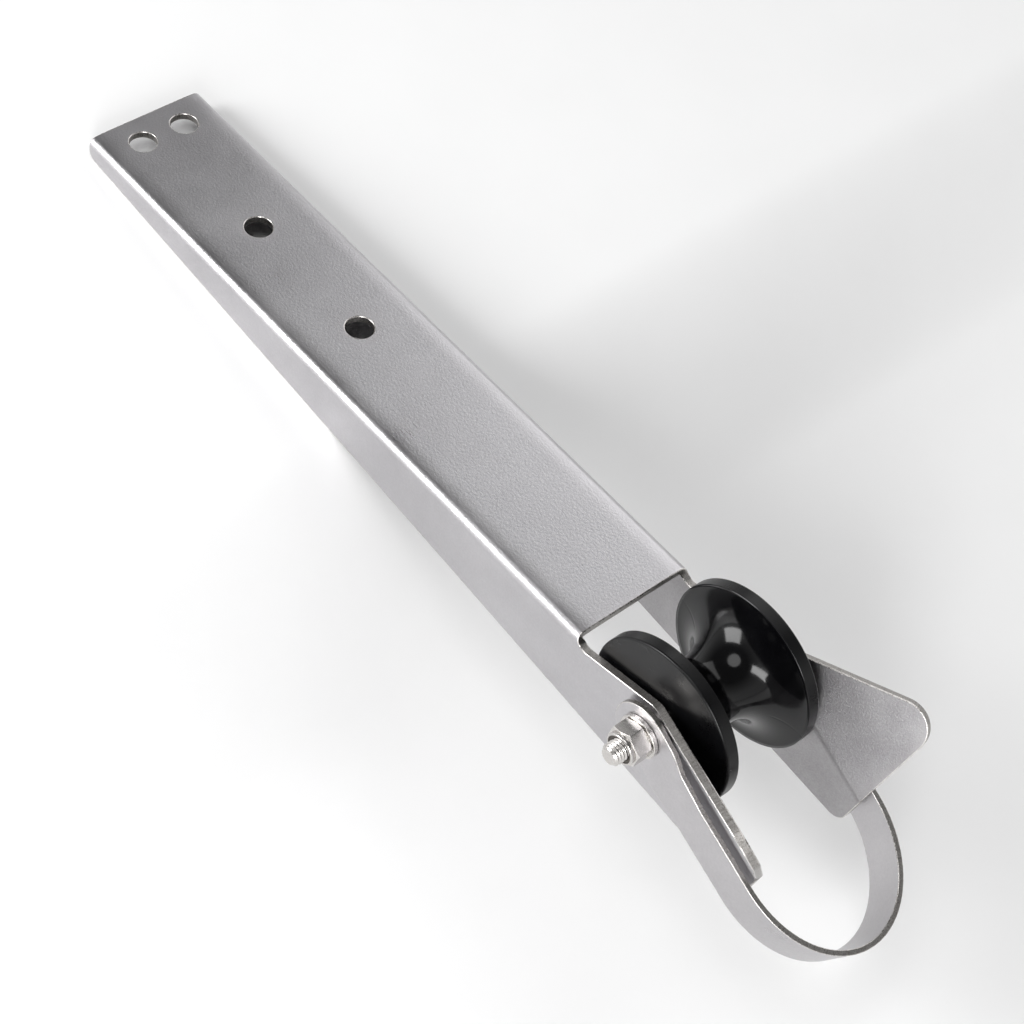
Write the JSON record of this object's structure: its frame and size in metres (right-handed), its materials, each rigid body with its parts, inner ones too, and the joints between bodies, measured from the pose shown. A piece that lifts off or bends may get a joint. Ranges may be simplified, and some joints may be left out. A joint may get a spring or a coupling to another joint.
{
  "type": "bow roller",
  "caption": "Folded steel channel with flared cheeks, a grooved anchor-line roller on a cross bolt and a swinging strap bail around its mouth.",
  "frame": {"origin": "midway between the two rear bolt holes, on the plate's mounting face", "axes": "+X runs along the channel from the bolt holes to the roller, +Z points out of the plate's mounting face, +Y completes the right-handed frame along the roller's axle"},
  "size_m": [0.402, 0.0855, 0.0814],
  "materials": {
    "bracket_steel": "satin, fine blasted grain",
    "bail_steel": "satin",
    "fastener_steel": "bright",
    "roller_plastic": "glossy moulded",
    "insert_nylon": "matt"
  },
  "bodies": {
    "frame": {"bracket": "bracket_steel", "axle_bolt": "fastener_steel", "lock_nut": "fastener_steel", "nut_insert": "insert_nylon", "nut_washer": "fastener_steel", "head_washer": "fastener_steel", "bail_spacers": "fastener_steel", "roller_sleeve": "fastener_steel"},
    "roller": {"roller": "roller_plastic"},
    "bail": {"bail": "bail_steel"}
  },
  "joints": [
    {"name": "roller_spin", "type": "hinge", "parent": "frame", "child": "roller", "pos_m": [0.2992, 0, -0.0079], "axis": [0, 1, 0], "continuous": true},
    {"name": "bail_swing", "type": "hinge", "parent": "frame", "child": "bail", "pos_m": [0.2992, 0, -0.0079], "axis": [0, 1, 0], "range_deg": [-2, 126]}
  ]
}
